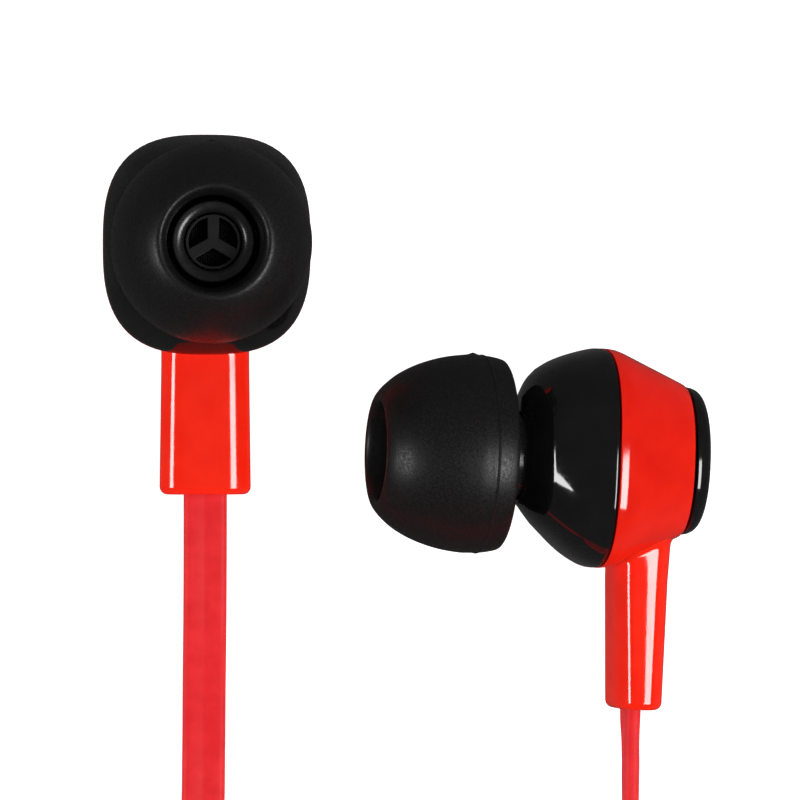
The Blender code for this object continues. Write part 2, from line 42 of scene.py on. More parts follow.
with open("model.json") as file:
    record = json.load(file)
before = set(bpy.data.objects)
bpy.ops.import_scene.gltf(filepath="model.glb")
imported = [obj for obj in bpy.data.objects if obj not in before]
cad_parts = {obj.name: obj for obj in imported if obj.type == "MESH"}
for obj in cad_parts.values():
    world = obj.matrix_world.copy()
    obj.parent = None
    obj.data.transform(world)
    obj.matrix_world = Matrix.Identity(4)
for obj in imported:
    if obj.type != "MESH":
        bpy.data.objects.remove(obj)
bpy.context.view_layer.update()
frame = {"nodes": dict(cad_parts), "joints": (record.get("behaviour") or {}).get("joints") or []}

# ---- camera and lights ----

VIEW_CENTRE = Vector((-0.28, 1.35, 6.0))
VIEW_WIDTH = 50.6
CAMERA_OFFSET = Vector((-29.5, 1.6, 500.0))
SENSOR = 36.0


def aim(obj, place, target):
    """Puts an object at a place, looking at a target, with the table's +Y up in its view."""
    backward = (place - target).normalized()
    right = Vector((0, 1, 0)).cross(backward).normalized()
    turn = Matrix((right, backward.cross(right), backward)).transposed()
    obj.matrix_world = Matrix.Translation(place * MM) @ turn.to_4x4()


def make_camera():
    data = bpy.data.cameras.new("camera")
    camera = bpy.data.objects.new("camera", data)
    bpy.context.scene.collection.objects.link(camera)
    data.sensor_width = SENSOR
    data.lens = SENSOR * CAMERA_OFFSET.length / VIEW_WIDTH
    data.clip_start = 0.01
    data.clip_end = 20.0
    aim(camera, VIEW_CENTRE + CAMERA_OFFSET, VIEW_CENTRE)
    bpy.context.scene.camera = camera


def softbox(name, across, along, distance, size, radiance, glossy=True):
    """A rectangular light seen from the buds at two angles in degrees from straight above the table.

    The first angle leans it towards the table's +X and the second towards +Y.
    """
    lean = Vector((math.tan(math.radians(across)), math.tan(math.radians(along)), 1))
    data = bpy.data.lights.new(name, "AREA")
    data.shape = "RECTANGLE"
    data.size, data.size_y = size[0] * MM, size[1] * MM
    data.energy = radiance * math.pi * data.size * data.size_y
    light = bpy.data.objects.new(name, data)
    bpy.context.scene.collection.objects.link(light)
    aim(light, VIEW_CENTRE + lean.normalized() * distance, VIEW_CENTRE)
    light.visible_glossy = glossy


def make_lights():
    """Two softboxes draw the window-like highlights, and matte fills even out the rest."""
    softbox("softbox_right", 35, -17, 420, (140, 190), 13.0)
    softbox("softbox_left", -57, -17, 420, (85, 140), 14.0)
    softbox("fill_back", 5, 40, 600, (600, 400), 0.8, glossy=False)
    softbox("fill_above", 0, 0, 700, (500, 500), 1.65, glossy=False)
    world = bpy.data.worlds.new("studio")
    world.use_nodes = True
    background = world.node_tree.nodes["Background"]
    background.inputs["Color"].default_value = (0.97, 0.97, 1.0, 1.0)
    background.inputs["Strength"].default_value = 0.06
    bpy.context.scene.world = world
    bpy.context.scene.view_settings.view_transform = "Standard"


# ---- materials ----


class Finish:
    """A procedural Principled material, built up one property at a time in the object's own space."""

    def __init__(self, name, colour, roughness, metallic=0.0):
        self.material = bpy.data.materials.new(name)
        self.material.use_nodes = True
        self.tree = self.material.node_tree
        self.shader = self.tree.nodes["Principled BSDF"]
        self.shader.inputs["Base Color"].default_value = (*colour, 1.0)
        self.shader.inputs["Roughness"].default_value = roughness
        self.shader.inputs["Metallic"].default_value = metallic
        self.place = self.node("ShaderNodeTexCoord").outputs["Object"]
        self.height = None

    def node(self, kind, **settings):
        made = self.tree.nodes.new(kind)
        for key, value in settings.items():
            setattr(made, key, value)
        return made

    def link(self, a, b):
        self.tree.links.new(a, b)

    def stretched(self, stretch):
        mapping = self.node("ShaderNodeMapping")
        mapping.inputs["Scale"].default_value = stretch
        self.link(self.place, mapping.inputs["Vector"])
        return mapping.outputs["Vector"]

    def noise(self, size, detail=3.0, stretch=(1, 1, 1)):
        """Cloudy noise whose features are about size millimetres across."""
        texture = self.node("ShaderNodeTexNoise")
        texture.inputs["Scale"].default_value = 1 / (size * MM)
        texture.inputs["Detail"].default_value = detail
        self.link(self.stretched(stretch), texture.inputs["Vector"])
        return texture.outputs["Fac"]

    def cells(self, size, stretch=(1, 1, 1)):
        """Distances inside cells about size millimetres across."""
        texture = self.node("ShaderNodeTexVoronoi")
        texture.inputs["Scale"].default_value = 1 / (size * MM)
        self.link(self.stretched(stretch), texture.inputs["Vector"])
        return texture.outputs["Distance"]

    def bands(self, size, direction):
        """Parallel waves about size millimetres apart."""
        texture = self.node("ShaderNodeTexWave", bands_direction=direction)
        # A wave texture repeats about every 0.314 units at a scale of 1.
        texture.inputs["Scale"].default_value = 0.314 / (size * MM)
        self.link(self.place, texture.inputs["Vector"])
        return texture.outputs["Fac"]

    def ramp(self, source, low, high, dark, light):
        """Turns a source between low and high into a blend from dark to light."""
        ramp = self.node("ShaderNodeValToRGB")
        ramp.color_ramp.elements[0].position = low
        ramp.color_ramp.elements[1].position = high
        ramp.color_ramp.elements[0].color = (*dark, 1.0)
        ramp.color_ramp.elements[1].color = (*light, 1.0)
        self.link(source, ramp.inputs["Fac"])
        return ramp.outputs["Color"]

    def colours(self, source, dark, light, low=0.35, high=0.65):
        colour = self.ramp(source, low, high, dark, light)
        self.link(colour, self.shader.inputs["Base Color"])
        return self

    def rough(self, source, smooth, coarse, low=0.3, high=0.7):
        reach = self.node("ShaderNodeMapRange")
        reach.inputs["From Min"].default_value = low
        reach.inputs["From Max"].default_value = high
        reach.inputs["To Min"].default_value = smooth
        reach.inputs["To Max"].default_value = coarse
        self.link(source, reach.inputs["Value"])
        self.link(reach.outputs["Result"], self.shader.inputs["Roughness"])
        return self

    def bump(self, source, depth, strength=1.0):
        """Adds relief of a depth in millimetres, on top of any relief already there."""
        bump = self.node("ShaderNodeBump")
        bump.inputs["Distance"].default_value = depth * MM
        bump.inputs["Strength"].default_value = strength
        self.link(source, bump.inputs["Height"])
        if self.height is not None:
            self.link(self.height, bump.inputs["Normal"])
        self.height = bump.outputs["Normal"]
        self.link(self.height, self.shader.inputs["Normal"])
        return self

    def set(self, **sockets):
        for name, value in sockets.items():
            self.shader.inputs[name.replace("_", " ")].default_value = value
        return self


def gloss_black():
    finish = Finish("gloss_black_plastic", (0.006, 0.006, 0.006), 0.07)
    finish.colours(finish.noise(2.5), (0.0045, 0.0045, 0.0045), (0.007, 0.0065, 0.0065))
    finish.rough(finish.noise(0.5, 4, (1, 1, 0.2)), 0.045, 0.11)
    finish.bump(finish.noise(0.7, 2), 0.0012)
    return finish.set(Specular_IOR_Level=0.5, Coat_Weight=0.3, Coat_Roughness=0.04)


def gloss_red():
    finish = Finish("gloss_red_plastic", (0.74, 0.011, 0.004), 0.1)
    finish.colours(finish.noise(3.0), (0.7, 0.009, 0.003), (0.78, 0.014, 0.005))
    finish.rough(finish.noise(0.6, 4, (1, 0.25, 1)), 0.07, 0.15)
    finish.bump(finish.noise(0.8, 2), 0.0015)
    return finish.set(Coat_Weight=0.4, Coat_Roughness=0.05)


def red_stem():
    finish = Finish("red_stem_plastic", (0.94, 0.018, 0.005), 0.1)
    finish.colours(finish.noise(1.6), (0.92, 0.016, 0.004), (0.96, 0.021, 0.006))
    finish.rough(finish.noise(0.35, 5, (1, 0.3, 1)), 0.07, 0.14)
    finish.bump(finish.noise(0.5, 3), 0.0015)
    finish.set(Subsurface_Weight=0.04, Subsurface_Scale=0.5 * MM)
    return finish.set(Subsurface_Radius=(1.0, 0.25, 0.15), Coat_Weight=0.3)


def silicone():
    finish = Finish("black_silicone", (0.007, 0.006, 0.006), 0.4)
    finish.colours(finish.noise(0.1, 5), (0.005, 0.0045, 0.0045), (0.014, 0.012, 0.012), 0.45, 0.8)
    finish.rough(finish.noise(0.16, 4), 0.3, 0.52)
    finish.bump(finish.cells(0.11), 0.006, 0.6)
    finish.bump(finish.noise(0.3, 4), 0.01, 0.5)
    return finish.set(Specular_IOR_Level=0.34)


def red_cord():
    finish = Finish("red_cord_jacket", (0.76, 0.022, 0.026), 0.45)
    finish.colours(finish.noise(1.2, 4), (0.72, 0.019, 0.023), (0.8, 0.026, 0.03))
    finish.rough(finish.noise(0.25, 4), 0.4, 0.52)
    finish.bump(finish.noise(0.12, 3), 0.003, 0.5)
    finish.set(Subsurface_Weight=0.04, Subsurface_Scale=0.4 * MM)
    return finish.set(Subsurface_Radius=(1.0, 0.3, 0.2), Specular_IOR_Level=0.16)


def satin_black():
    finish = Finish("satin_black_plastic", (0.01, 0.01, 0.011), 0.25)
    finish.colours(finish.noise(0.6), (0.009, 0.009, 0.01), (0.013, 0.013, 0.014))
    finish.rough(finish.noise(0.12, 3), 0.2, 0.3)
    return finish.bump(finish.noise(0.1, 3), 0.002)


def matte_black():
    finish = Finish("matte_black_plastic", (0.009, 0.009, 0.01), 0.55)
    finish.colours(finish.noise(0.6), (0.008, 0.008, 0.009), (0.011, 0.011, 0.012))
    finish.rough(finish.noise(0.12, 3), 0.48, 0.62)
    finish.bump(finish.noise(0.1, 3), 0.003)
    return finish.set(Specular_IOR_Level=0.2)


def black_rubber():
    finish = Finish("black_rubber", (0.02, 0.02, 0.02), 0.6)
    finish.colours(finish.noise(0.8), (0.014, 0.014, 0.014), (0.026, 0.025, 0.025))
    finish.rough(finish.noise(0.2, 4), 0.5, 0.72)
    return finish.bump(finish.noise(0.15, 3), 0.006, 0.6)


def tie_strap():
    finish = Finish("woven_strap", (0.02, 0.02, 0.022), 0.8)
    finish.colours(finish.bands(0.4, "Z"), (0.012, 0.012, 0.013), (0.035, 0.035, 0.037))
    finish.rough(finish.noise(0.2, 3), 0.7, 0.9)
    return finish.bump(finish.cells(0.25), 0.04, 0.7)


def gold():
    finish = Finish("gold_contact", (0.86, 0.63, 0.28), 0.2, 1.0)
    finish.colours(finish.noise(1.0), (0.80, 0.56, 0.23), (0.92, 0.70, 0.34))
    finish.rough(finish.noise(0.12, 5, (1, 1, 0.15)), 0.12, 0.3)
    return finish.bump(finish.noise(0.1, 3, (1, 1, 0.1)), 0.001)


def steel():
    finish = Finish("satin_steel", (0.46, 0.46, 0.48), 0.35, 1.0)
    finish.colours(finish.noise(0.8), (0.38, 0.38, 0.40), (0.54, 0.54, 0.55))
    finish.rough(finish.noise(0.1, 4), 0.26, 0.46)
    return finish.bump(finish.noise(0.08, 3), 0.002)


def woven_mesh():
    finish = Finish("dark_woven_mesh", (0.05, 0.05, 0.055), 0.45, 0.8)
    finish.colours(finish.bands(0.14, "X"), (0.003, 0.003, 0.0035), (0.014, 0.014, 0.015), 0.3, 0.7)
    finish.rough(finish.noise(0.1, 3), 0.35, 0.6)
    finish.bump(finish.bands(0.14, "X"), 0.03)
    return finish.bump(finish.bands(0.14, "Y"), 0.03)


def nickel():
    finish = Finish("nickel_plating", (0.63, 0.61, 0.58), 0.2, 1.0)
    finish.colours(finish.noise(1.2), (0.56, 0.54, 0.51), (0.68, 0.66, 0.62))
    finish.rough(finish.noise(0.2, 4), 0.14, 0.3)
    return finish.bump(finish.noise(0.3, 3), 0.001)


def copper():
    finish = Finish("copper_winding", (0.72, 0.30, 0.14), 0.35, 1.0)
    finish.colours(finish.bands(0.08, "Z"), (0.42, 0.15, 0.06), (0.78, 0.34, 0.17), 0.2, 0.6)
    finish.rough(finish.noise(0.1, 3), 0.28, 0.42)
    return finish.bump(finish.bands(0.08, "Z"), 0.02)


def film():
    finish = Finish("membrane_film", (0.72, 0.70, 0.64), 0.28)
    finish.colours(finish.noise(0.8), (0.66, 0.64, 0.58), (0.78, 0.76, 0.70))
    finish.rough(finish.noise(0.3, 3), 0.22, 0.38)
    return finish.bump(finish.noise(0.4, 3), 0.004)


def foam():
    finish = Finish("grey_foam", (0.1, 0.1, 0.1), 0.95)
    finish.colours(finish.cells(0.16), (0.03, 0.03, 0.03), (0.15, 0.15, 0.15), 0.1, 0.6)
    finish.rough(finish.noise(0.2, 2), 0.88, 1.0)
    return finish.bump(finish.cells(0.16), 0.06)


def frame_plastic():
    finish = Finish("matte_frame_plastic", (0.07, 0.07, 0.075), 0.5)
    finish.colours(finish.noise(0.9), (0.055, 0.055, 0.06), (0.085, 0.085, 0.09))
    finish.rough(finish.noise(0.15, 3), 0.42, 0.6)
    return finish.bump(finish.noise(0.1, 3), 0.003)


def pale_floor():
    finish = Finish("pale_floor", (0.55, 0.55, 0.55), 0.8)
    finish.colours(finish.noise(60, 2), (0.54, 0.54, 0.54), (0.56, 0.56, 0.56))
    finish.set(Emission_Color=(1.0, 1.0, 1.0, 1.0), Emission_Strength=0.97)
    return finish.set(Specular_IOR_Level=0.0)


MATERIALS = {
    "gloss_black": gloss_black().material,
    "satin_black": satin_black().material,
    "matte_black": matte_black().material,
    "gloss_red": gloss_red().material,
    "red_stem": red_stem().material,
    "silicone": silicone().material,
    "red_cord": red_cord().material,
    "black_rubber": black_rubber().material,
    "tie": tie_strap().material,
    "gold_contact": gold().material,
    "steel": steel().material,
    "mesh": woven_mesh().material,
    "nickel": nickel().material,
    "copper": copper().material,
    "film": film().material,
    "foam": foam().material,
    "frame_plastic": frame_plastic().material,
    "pale_floor": pale_floor().material,
}

# ---- mesh tools ----

AUTO_SHARP = math.radians(40)


def finish_mesh(name, shape, material, place=Matrix.Identity(4), sharp=AUTO_SHARP):
    """Turns a bmesh in metres into a smooth-shaded object at a place."""
    bmesh.ops.recalc_face_normals(shape, faces=shape.faces)
    mesh = bpy.data.meshes.new(name)
    shape.to_mesh(mesh)
    shape.free()
    mesh.shade_smooth()
    mesh.set_sharp_from_angle(angle=sharp)
    obj = bpy.data.objects.new(name, mesh)
    bpy.context.scene.collection.objects.link(obj)
    obj.matrix_world = place
    obj.data.materials.append(MATERIALS[material])
    return obj


def loft(name, rings, material, place=Matrix.Identity(4), closed=False, sharp=AUTO_SHARP):
    """A solid through rings of equally many points. Closed joins the last ring to the first."""
    shape = bmesh.new()
    made = [[shape.verts.new(p * MM) for p in ring] for ring in rings]
    pairs = list(zip(made, made[1:]))
    if closed:
        pairs.append((made[-1], made[0]))
    for low, high in pairs:
        for i in range(len(low)):
            j = (i + 1) % len(low)
            shape.faces.new((low[i], low[j], high[j], high[i]))
    if not closed:
        shape.faces.new(made[0][::-1])
        shape.faces.new(made[-1])
    return finish_mesh(name, shape, material, place, sharp)


def lathe(name, profile, material, place, segments=96):
    """A solid turned about local Z from a closed outline of (radius, height) points.

    An outline that starts on the axis also ends on it, and its two ends are capped.
    """
    steps = [math.tau * i / segments for i in range(segments)]
    on_axis = profile[0][0] == 0
    turned = profile[1:-1] if on_axis else profile
    rings = [
        [Vector((r * math.cos(a), r * math.sin(a), h)) for a in steps]
        for r, h in turned
    ]
    return loft(name, rings, material, place, closed=not on_axis)


def curve_points(points, pieces):
    """A Catmull-Rom curve through points, with so many pieces between each pair."""
    points = [Vector(p) for p in points]
    padded = [2 * points[0] - points[1], *points, 2 * points[-1] - points[-2]]
    smooth = [points[0]]
    for a, b, c, d in zip(padded, padded[1:], padded[2:], padded[3:]):
        for i in range(1, pieces + 1):
            t = i / pieces
            smooth.append(
                0.5
                * (
                    2 * b
                    + (c - a) * t
                    + (2 * a - 5 * b + 4 * c - d) * t**2
                    + (3 * b - a - 3 * c + d) * t**3
                )
            )
    return smooth


def smooth_run(rows, pieces):
    """Rows of five numbers along a Catmull-Rom curve through the given rows."""
    heads = curve_points([row[:3] for row in rows], pieces)
    tails = curve_points([row[2:] for row in rows], pieces)
    return [(*head, *tail[1:]) for head, tail in zip(heads, tails)]


def smooth_profile(*runs, pieces=5):
    """An outline from runs of points: smooth inside each run, with a corner between two runs."""
    outline = []
    for run in runs:
        if len(run) < 3:
            outline += [tuple(p) for p in run]
        else:
            outline += [tuple(p) for p in curve_points(run, pieces)]
    return outline


def rounded_rectangle(half_x, half_y, corner, arc_points=9):
    """Points round a rectangle with round corners, centred on the origin."""
    outline = []
    for turn, (side_x, side_y) in enumerate(((1, 1), (-1, 1), (-1, -1), (1, -1))):
        centre_x, centre_y = side_x * (half_x - corner), side_y * (half_y - corner)
        for i in range(arc_points):
            angle = math.pi / 2 * (turn + i / (arc_points - 1))
            x = centre_x + corner * math.cos(angle)
            y = centre_y + corner * math.sin(angle)
            outline.append((x, y))
    return outline


def finish_cad(node, material):
    """Gives a CAD node that stays in view its own procedural material."""
    obj = frame["nodes"][node]
    obj.data.materials.clear()
    obj.data.materials.append(MATERIALS[material])


def stands_for(obj, nodes, body=ROOT):
    """Puts a piece on a body in place of its CAD nodes."""
    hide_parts(*nodes)
    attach(obj, body)
    return obj


# ---- cords ----

CORD_WIDTH = 2.75
CORD_THICKNESS = 0.95
CORD_CORNER = 0.36
GROOVE_DEPTH = 0.07
GROOVE_WIDTH = 0.32
COIL_CENTRE = Vector((1.0, -58.3, 0.0))
LAYER_1, LAYER_2 = 2.28, 5.12
TURN_PITCH = 1.15

# The routes match the CAD's: x, y, z and the cord's roll in degrees, 0 on edge and 90 flat. The two leads
# are measured from the table's origin, and the others from the coil's centre.
LEFT_ROUTE = [
    (-12.53, 5.9, 3.9, 90),
    (-12.53, 0.6, 3.9, 90),
    (-12.53, -4.65, 3.9, 90),
    (-12.53, -8.8, 3.75, 90),
    (-12.53, -13.0, 3.1, 90),
    (-12.53, -17.2, 1.8, 90),
    (-12.53, -21.4, 0.85, 90),
    (-12.63, -25.4, 0.75, 86),
    (-13.25, -29.6, 1.2, 66),
    (-14.8, -34.2, 1.75, 34),
    (-17.0, -39.4, 2.15, 10),
    (-18.9, -44.8, 2.28, 0),
    (-19.62, -50.4, 2.28, 0),
    (-19.67, -54.6, 2.28, 0),
]
RIGHT_ROUTE = [
    (14.71, -7.46, 6.14, -8.5),
    (14.53, -12.71, 6.14, -8.5),
    (14.33, -18.2, 6.14, -6),
    (14.33, -20.2, 6.12, -1),
    (14.34, -22.4, 6.08, 0),
    (14.2, -25.6, 5.85, 2),
    (13.05, -29.4, 5.1, 0),
    (10.7, -32.75, 4.05, 0),
    (7.8, -35.1, 3.1, 0),
    (4.9, -36.5, 2.5, 0),
    (0.6, -37.75, 2.28, 0),
]
LEFT_INNER_ROUTE = [
    (-8.65, -9.94, 2.28, 0),
    (-5.69, -10.96, 2.28, 0),
    (-2.57, -10.80, 2.28, 0),
    (0.04, -9.64, 2.2, 0),
    (1.76, -8.0, 2.05, 0),
    (3.2, -6.2, 2.0, 0),
]
RIGHT_INNER_ROUTE = [
    (-8.06, -8.98, 2.28, 0),
    (-5.51, -9.85, 2.28, 0),
    (-2.82, -9.71, 2.28, 0),
    (-0.59, -8.72, 2.15, 0),
    (0.86, -7.35, 2.05, 0),
    (2.3, -5.5, 2.0, 0),
]
MAIN_INNER_ROUTE = [
    (6.1, -1.0, 2.0, 0),
    (7.45, 0.78, 2.0, 0),
    (8.31, 2.74, 2.1, 0),
    (8.35, 5.23, 2.25, 0),
    (7.37, 7.53, 2.5, 0),
    (5.5, 9.1, 2.8, 0),
    (1.86, 10.45, 3.2, 0),
    (-2.75, 10.25, 3.7, 0),
    (-6.85, 8.15, 4.2, 0),
    (-9.65, 4.5, 4.65, 0),
    (-10.65, 0.0, 4.95, 0),
    (-10.1, -3.5, 5.1, 0),
    (-8.73, -7.33, 5.12, 0),
]
MAIN_OUTER_ROUTE = [
    (-18.3, -12.6, 5.05, 0),
    (-17.4, -17.0, 4.1, 0),
    (-15.4, -20.8, 2.9, 0),
    (-12.2, -23.9, 2.3, 0),
    (-8.4, -25.6, 2.5, 0),
    (-5.2, -26.1, 3.05, 0),
    (-3.0, -26.1, 3.36, 0),
    (-1.0, -26.1, 3.4, 0),
    (1.0, -26.1, 3.4, 0),
]


# Each set of turns: the radius and the angle in degrees where it starts, and the angle where it ends.
LEFT_TURNS = (20.67, 180, 1295)
RIGHT_TURNS = (20.0, 105, 1295)
MAIN_TURNS = (12.3, 240, 2705)
TURN_STEPS = 30

ON_MAIN_CORD = [
    "plug_strain_relief",
    "plug_grip",
    "plug_sleeve_contact",
    "plug_lower_insulator",
    "plug_ring_contact",
    "plug_upper_insulator",
    "plug_tip_contact",
    "y_split_lower",
    "y_split_upper",
    "coil_strap",
]


def moved(route, origin):
    """A route that is measured from an origin, as a route measured from the table's origin."""
    return [(x + origin.x, y + origin.y, z + origin.z, roll) for x, y, z, roll in route]


def coil_turns(turns, pitch, height):
    """A flat spiral about the coil's centre, counter-clockwise. A pitch below 0 winds it inwards."""
    start_radius, start, end = turns
    steps = round((end - start) / 360 * TURN_STEPS)
    route = []
    for i in range(steps + 1):
        degrees = start + (end - start) * i / steps
        radius = start_radius + pitch * (degrees - start) / 360
        angle = math.radians(degrees)
        x = COIL_CENTRE.x + radius * math.cos(angle)
        y = COIL_CENTRE.y + radius * math.sin(angle)
        route.append((x, y, height, 0))
    return route


def cord_section():
    """The flat cord's section: width up, thickness across, with a shallow groove down each face."""
    half_w, half_t = CORD_WIDTH / 2, CORD_THICKNESS / 2
    corners = rounded_rectangle(half_t, half_w, CORD_CORNER, 5)
    section = []
    for side, ends in ((-1, corners[:10]), (1, corners[10:])):
        section += ends
        for share in (0.62, 0.3, 0.12, 0.0, -0.12, -0.3, -0.62):
            along = share * half_w
            dip = GROOVE_DEPTH * math.exp(-((along / GROOVE_WIDTH) ** 2))
            section.append((side * (half_t - dip), -side * along))
    return section


def flat_cord(name, route, pieces=5):
    """A flat cord swept along a smooth curve. Returns the piece and its centreline in metres."""
    section = cord_section()
    line = curve_points(route, pieces)
    places = [p.to_3d() for p in line]
    rings = []
    for i, at in enumerate(line):
        ahead = places[min(i + 1, len(places) - 1)] - places[max(i - 1, 0)]
        forward = ahead.normalized()
        across = forward.cross(Vector((0, 0, 1))).normalized()
        up = across.cross(forward)
        roll = math.radians(at.w)
        wide = up * math.cos(roll) + across * math.sin(roll)
        thin = across * math.cos(roll) - up * math.sin(roll)
        rings.append([places[i] + thin * x + wide * y for x, y in section])
    cord = loft(name, rings, "red_cord", sharp=math.radians(60))
    return cord, [p * MM for p in places]


def make_cords():
    """Two branches wind inwards together in the lower layer, and the main cord outwards in the upper."""
    left = [
        *LEFT_ROUTE,
        *coil_turns(LEFT_TURNS, -2 * TURN_PITCH, LAYER_1),
        *moved(LEFT_INNER_ROUTE, COIL_CENTRE),
    ]
    right = [
        *RIGHT_ROUTE,
        *coil_turns(RIGHT_TURNS, -2 * TURN_PITCH, LAYER_1),
        *moved(RIGHT_INNER_ROUTE, COIL_CENTRE),
    ]
    main = [
        *moved(MAIN_INNER_ROUTE, COIL_CENTRE),
        *coil_turns(MAIN_TURNS, TURN_PITCH, LAYER_2),
        *moved(MAIN_OUTER_ROUTE, COIL_CENTRE),
    ]
    main_nodes = ["cord_coil", "cord_main_inner", "cord_main_outer"]
    # Leaves is the index of the route's point where the cord comes out of its stem or the splitter.
    for name, route, nodes, leaves, far_end, on_it in (
        ("left_branch", left, ["cord_left", "cord_left_inner"], 2, "object", []),
        ("right_branch", right, ["cord_right", "cord_right_inner"], 2, "object", []),
        ("main_cord", main, main_nodes, 1, "plug", ON_MAIN_CORD),
    ):
        cord, line = flat_cord(name, route)
        stands_for(cord, nodes)


# ---- the buds ----

# Shell sections: height along the axis, half height, half width, squareness (2 is an ellipse), and how
# far the section's middle is raised above the axis. A section of four numbers isn't raised.
REAR_EDGE = [
    (1.36, 4.72, 4.54, 2.4),
    (1.39, 4.8, 4.62, 2.42),
    (1.47, 4.88, 4.7, 2.46),
]
REAR_OUTSIDE = [
    (1.62, 4.96, 4.77, 2.5, 0.0),
    (3.0, 5.58, 5.31, 2.6, 0.0),
    (4.4, 6.2, 5.85, 2.7, 0.0),
    (5.4, 6.645, 6.265, 2.8, 0.0),
    (5.75, 6.79, 6.41, 2.8, 0.0),
    (6.05, 6.88, 6.5, 2.8, 0.0),
    (6.35, 6.925, 6.545, 2.8, 0.0),
    (6.57, 6.945, 6.56, 2.8, 0.0),
]
REAR_OPENING = 3.75
REAR_INSIDE = [
    (6.62, 6.925, 6.545, 2.8),
    (6.62, 6.09, 5.7, 2.8),
    (5.6, 5.88, 5.48, 2.8),
    (4.5, 5.4, 5.05, 2.7),
    (2.3, 4.4, 4.2, 2.5),
    (2.05, REAR_OPENING, REAR_OPENING, 2.0),
    (1.36, REAR_OPENING, REAR_OPENING, 2.0),
]
FRONT_SEAM = 6.77
FRONT_EDGE = [(FRONT_SEAM, 6.91, 6.53, 2.8)]
FRONT_OUTSIDE = [
    (6.83, 6.935, 6.555, 2.8, 0.0),
    (7.1, 6.92, 6.54, 2.8, 0.01),
    (7.6, 6.77, 6.39, 2.8, 0.05),
    (8.4, 6.42, 6.06, 2.8, 0.17),
    (9.1, 6.03, 5.7, 2.75, 0.32),
    (9.8, 5.56, 5.26, 2.7, 0.48),
    (10.52, 5.02, 4.78, 2.55, 0.59),
]
FRONT_CONE = [
    (10.66, 4.88, 4.65, 2.5, 0.6),
    (11.1, 4.42, 4.26, 2.3, 0.62),
    (11.45, 3.92, 3.87, 2.1, 0.52),
    (11.68, 3.55, 3.54, 2.0, 0.37),
]
FRONT_NECK = [
    (11.75, 3.4, 3.4, 2.0, 0.32),
    (11.75, 2.8, 2.8, 2.0),
    (10.7, 2.8, 2.8, 2.0),
]
FRONT_WALL = 1.0

# The lip on the front shell goes inside the rear shell and holds the two together.
LIP_LOW, LIP_HIGH = 5.6, 6.73
LIP_HALF_HEIGHT, LIP_HALF_WIDTH = 5.75, 5.35
LIP_SQUARENESS = 2.8
LIP_WALL = 0.5

CAP_RECESS = [
    (0.1, 2.2, 2.16, 2.1),
    (0.1, 2.26, 2.22, 2.1),
    (0.0, 2.36, 2.32, 2.1),
    (0.0, 2.8, 2.75, 2.1),
]
CAP_DOME = [
    (0.01, 3.0, 2.95, 2.1, 0.0),
    (0.1, 3.6, 3.52, 2.2, 0.0),
    (0.26, 4.15, 4.03, 2.25, 0.0),
    (0.5, 4.47, 4.33, 2.3, 0.0),
    (0.82, 4.63, 4.48, 2.4, 0.0),
    (1.1, 4.69, 4.53, 2.4, 0.0),
]
CAP_SPIGOT = [
    (1.18, 4.63, 4.48, 2.4),
    (1.18, 3.45, 3.45, 2.0),
    (2.1, 3.45, 3.45, 2.0),
]

# The stem's two ends: its low side and high side along the bud's axis, and its half width.
STEM_TOP = (1.98, 5.56, 2.8)
STEM_BOTTOM = (2.22, 5.25, 2.9)
STEM_OVERLAP = 0.03
STEM_STRAIGHT = -7.6
STEM_END = -15.8
STEM_END_ROUND = 0.5
STEM_BULGE = 0.08
STEM_CORNER = 1.15
STEM_CORNER_STRETCH = 1.45
CORD_AXIS = 3.9
CORD_HOLE_GAP = 0.2
CORD_HOLE_CORNER = 0.4
NOZZLE_BASE = 9.8
NOZZLE_END = 18.4
GRILLE_RADIUS = 1.7
GRILLE_RIM = 0.18
SPOKE_WIDTH = 0.7
RING_POINTS = 96


def bud_place(side):
    """The bud's own frame: nose from its joint, up square to the nose and the table's +Z, foot from its
    rear cap.
    """
    joint = next(j for j in frame["joints"] if j["name"] == f"{side}_tip_pull")
    nose = Vector(joint["axis"]).normalized()
    cap = frame["nodes"][f"{side}_rear_cap"].data.vertices
    table_up = Vector((0, 0, 1))
    up = Vector((0, 1, 0))
    if nose.dot(table_up) < 0.9:
        up = nose.cross(table_up).normalized()
    lateral = up.cross(nose)
    foot = nose * min(v.co.dot(nose) for v in cap)
    for axis in (up, lateral):
        reach = [v.co.dot(axis) for v in cap]
        foot += axis * (min(reach) + max(reach)) / 2
    place = Matrix((lateral, up, nose)).transposed().to_4x4()
    place.translation = foot
    return place


def rounded_square(height, half_height, half_width, squareness, rise=0.0):
    """One shell section: a ring of points that lies between an ellipse and a rectangle."""
    ring = []
    for i in range(RING_POINTS):
        angle = math.tau * i / RING_POINTS
        across = abs(math.cos(angle)) / half_width
        up = abs(math.sin(angle)) / half_height
        reach = (across**squareness + up**squareness) ** (-1 / squareness)
        at = Vector((reach * math.cos(angle), rise + reach * math.sin(angle), height))
        ring.append(at)
    return ring


def section_rings(sections, pieces=4, wall=0.0):
    """Rings through a run of sections, moved in by a wall's thickness."""
    return [
        rounded_square(h, y - wall, x - wall, n, rise)
        for h, y, x, n, rise in smooth_run(sections, pieces)
    ]


def section_at(sections, height):
    """The section at a height, between the two given sections that are next to it."""
    for low, high in zip(sections, sections[1:]):
        if height <= high[0]:
            break
    share = (height - low[0]) / (high[0] - low[0])
    return tuple(a + (b - a) * share for a, b in zip(low, high))


def plain_rings(sections):
    """One ring for each section."""
    return [rounded_square(*section) for section in sections]


def make_rear_shell(side, place):
    rings = plain_rings(REAR_EDGE) + section_rings(REAR_OUTSIDE) + plain_rings(REAR_INSIDE)
    shell = loft(f"{side}_red_shell", rings, "gloss_red", place, closed=True)
    stands_for(shell, [f"{side}_rear_shell"])


